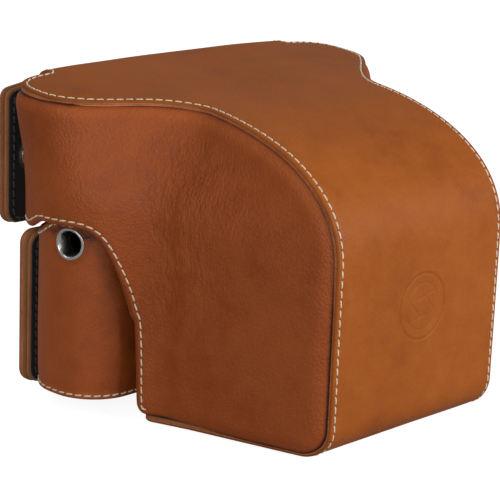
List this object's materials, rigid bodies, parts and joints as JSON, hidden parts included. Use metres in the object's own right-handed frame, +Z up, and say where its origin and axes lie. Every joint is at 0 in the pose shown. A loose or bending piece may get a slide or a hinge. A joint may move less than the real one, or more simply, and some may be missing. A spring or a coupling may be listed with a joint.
{
  "type": "camera case",
  "caption": "Leather ever ready case for a rangefinder camera: a half case with a display flap, a deep hinged front cover with a lens nose, and a back flap hinged on the roof",
  "frame": {"origin": "centre of the case's bounding box in plan, on the plane that the case stands on", "axes": "+X towards the camera's left hand side seen from the front (along the camera's length), -Y towards the lens, +Z up"},
  "size_m": [0.1508, 0.1193, 0.1035],
  "materials": {
    "smooth_leather": "smooth cognac calf leather, satin",
    "pebbled_leather": "fine pebbled cognac leather with soft folds, semi matt",
    "suede": "black suede lining",
    "board": "stiff fibre board",
    "foam": "thin felt padding",
    "steel": "bright nickel plate",
    "brass": "lacquered brass"
  },
  "bodies": {
    "half_case": {"base_shell": "smooth_leather", "base_floor": "smooth_leather", "base_lining": "suede", "floor_board": "board", "floor_lining": "suede", "lug_eyelet_left": "steel", "lug_eyelet_right": "steel", "screw_plate": "brass", "cover_hinge_strap": "smooth_leather", "display_hinge_strap": "smooth_leather", "display_stud_left": "steel", "display_stud_right": "steel"},
    "display_flap": {"display_flap_leather": "smooth_leather", "display_flap_board": "board", "display_flap_lining": "suede", "display_flap_snap_left": "steel", "display_flap_snap_right": "steel"},
    "front_cover": {"cover_strip": "smooth_leather", "strip_lining": "suede", "side_panel_left": "pebbled_leather", "side_panel_right": "pebbled_leather", "side_padding_left": "foam", "side_padding_right": "foam", "side_lining_left": "suede", "side_lining_right": "suede", "cover_stud_left": "steel", "cover_stud_right": "steel"},
    "back_flap": {"back_flap_leather": "smooth_leather", "back_flap_board": "board", "back_flap_lining": "suede", "back_flap_snap_left": "steel", "back_flap_snap_right": "steel"},
    "tripod_screw": {"screw_knob": "brass", "screw_shaft": "brass", "screw_retainer": "steel"}
  },
  "joints": [
    {"name": "cover_hinge", "type": "hinge", "parent": "half_case", "child": "front_cover", "pos_m": [0, 0.0062, 0.0036], "axis": [1, 0, 0], "range_deg": [0, 110]},
    {"name": "display_hinge", "type": "hinge", "parent": "half_case", "child": "display_flap", "pos_m": [0, 0.0464, 0.005], "axis": [-1, 0, 0], "range_deg": [0, 130]},
    {"name": "back_hinge", "type": "hinge", "parent": "front_cover", "child": "back_flap", "pos_m": [0, 0.0587, 0.0965], "axis": [1, 0, 0], "range_deg": [0, 120]},
    {"name": "screw_turn", "type": "hinge", "parent": "half_case", "child": "tripod_screw", "pos_m": [0, 0.0272, 0.005], "axis": [0, 0, 1], "continuous": true}
  ]
}
